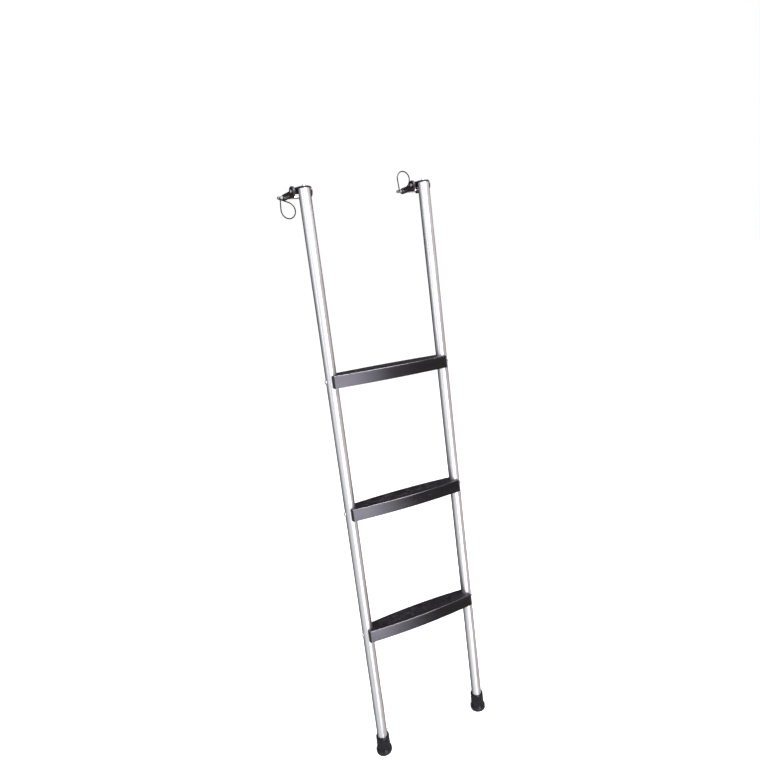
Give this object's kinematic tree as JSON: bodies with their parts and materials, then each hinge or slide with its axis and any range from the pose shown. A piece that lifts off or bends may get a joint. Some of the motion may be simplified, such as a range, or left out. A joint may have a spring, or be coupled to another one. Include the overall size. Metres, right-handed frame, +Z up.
{
  "type": "clip-on starter ladder",
  "caption": "Straight aluminium ladder with moulded black steps, ribbed rubber feet and two hinged fork clamps with pull pins that lock it to another ladder's rails.",
  "frame": {"origin": "on the ground midway between the soles of the two feet, on the plane of the rail axes", "axes": "+Z up along the rails, +X across the steps to the user's right, +Y from the user towards the ladder that carries this one; in use the part leans about 16 degrees, its top towards +Y"},
  "size_m": [0.3337, 0.106, 1.3739],
  "materials": {
    "aluminium_tube": "satin anodised",
    "step_plastic": "moulded, semi-gloss",
    "plug_plastic": "moulded",
    "foot_rubber": "moulded rubber",
    "clamp_black": "glass-filled, semi-gloss",
    "steel_hardware": "zinc plated",
    "pin_steel": "turned, zinc plated",
    "wire_steel": "spring wire, darkened"
  },
  "bodies": {
    "ladder": {"rail_left": "aluminium_tube", "rail_right": "aluminium_tube", "rail_plug_left": "plug_plastic", "rail_plug_right": "plug_plastic", "foot_left": "foot_rubber", "foot_right": "foot_rubber", "saddle_screw_left": "steel_hardware", "saddle_screw_right": "steel_hardware", "step_top": "step_plastic", "step_middle": "step_plastic", "step_bottom": "step_plastic", "step_screws_top": "steel_hardware", "step_screws_middle": "steel_hardware", "step_screws_bottom": "steel_hardware"},
    "saddle_left": {"saddle_left": "clamp_black", "hinge_pin_left": "steel_hardware"},
    "fork_left": {"fork_left": "clamp_black"},
    "lock_pin_left": {"lock_pin_left": "pin_steel"},
    "pull_loop_left": {"pull_loop_left": "wire_steel"},
    "saddle_right": {"saddle_right": "clamp_black", "hinge_pin_right": "steel_hardware"},
    "fork_right": {"fork_right": "clamp_black"},
    "lock_pin_right": {"lock_pin_right": "pin_steel"},
    "pull_loop_right": {"pull_loop_right": "wire_steel"}
  },
  "joints": [
    {"name": "saddle_left_swivel", "type": "hinge", "parent": "ladder", "child": "saddle_left", "pos_m": [-0.134, 0, 1.3355], "axis": [0, 0, 1], "continuous": true},
    {"name": "fork_left_hinge", "type": "hinge", "parent": "saddle_left", "child": "fork_left", "pos_m": [-0.13686, 0.01808, 1.3341], "axis": [0.9877, 0.1564, 0], "range_deg": [-45, 85]},
    {"name": "lock_pin_left_slide", "type": "slide", "parent": "fork_left", "child": "lock_pin_left", "axis": [-0.9877, -0.1564, 0], "range_m": [0, 0.052]},
    {"name": "pull_loop_left_hinge", "type": "hinge", "parent": "lock_pin_left", "child": "pull_loop_left", "pos_m": [-0.17435, 0.06296, 1.3295], "axis": [-0.1564, 0.9877, 0], "range_deg": [0, 205]},
    {"name": "saddle_right_swivel", "type": "hinge", "parent": "ladder", "child": "saddle_right", "pos_m": [0.134, 0, 1.3355], "axis": [0, 0, 1], "continuous": true},
    {"name": "fork_right_hinge", "type": "hinge", "parent": "saddle_right", "child": "fork_right", "pos_m": [0.13304, 0.01827, 1.3341], "axis": [0.9986, 0.0523, 0], "range_deg": [-45, 85]},
    {"name": "lock_pin_right_slide", "type": "slide", "parent": "fork_right", "child": "lock_pin_right", "axis": [-0.9986, -0.0523, 0], "range_m": [0, 0.052]},
    {"name": "pull_loop_right_hinge", "type": "hinge", "parent": "lock_pin_right", "child": "pull_loop_right", "pos_m": [0.10046, 0.06684, 1.3295], "axis": [-0.0523, 0.9986, 0], "range_deg": [-205, 0]}
  ]
}
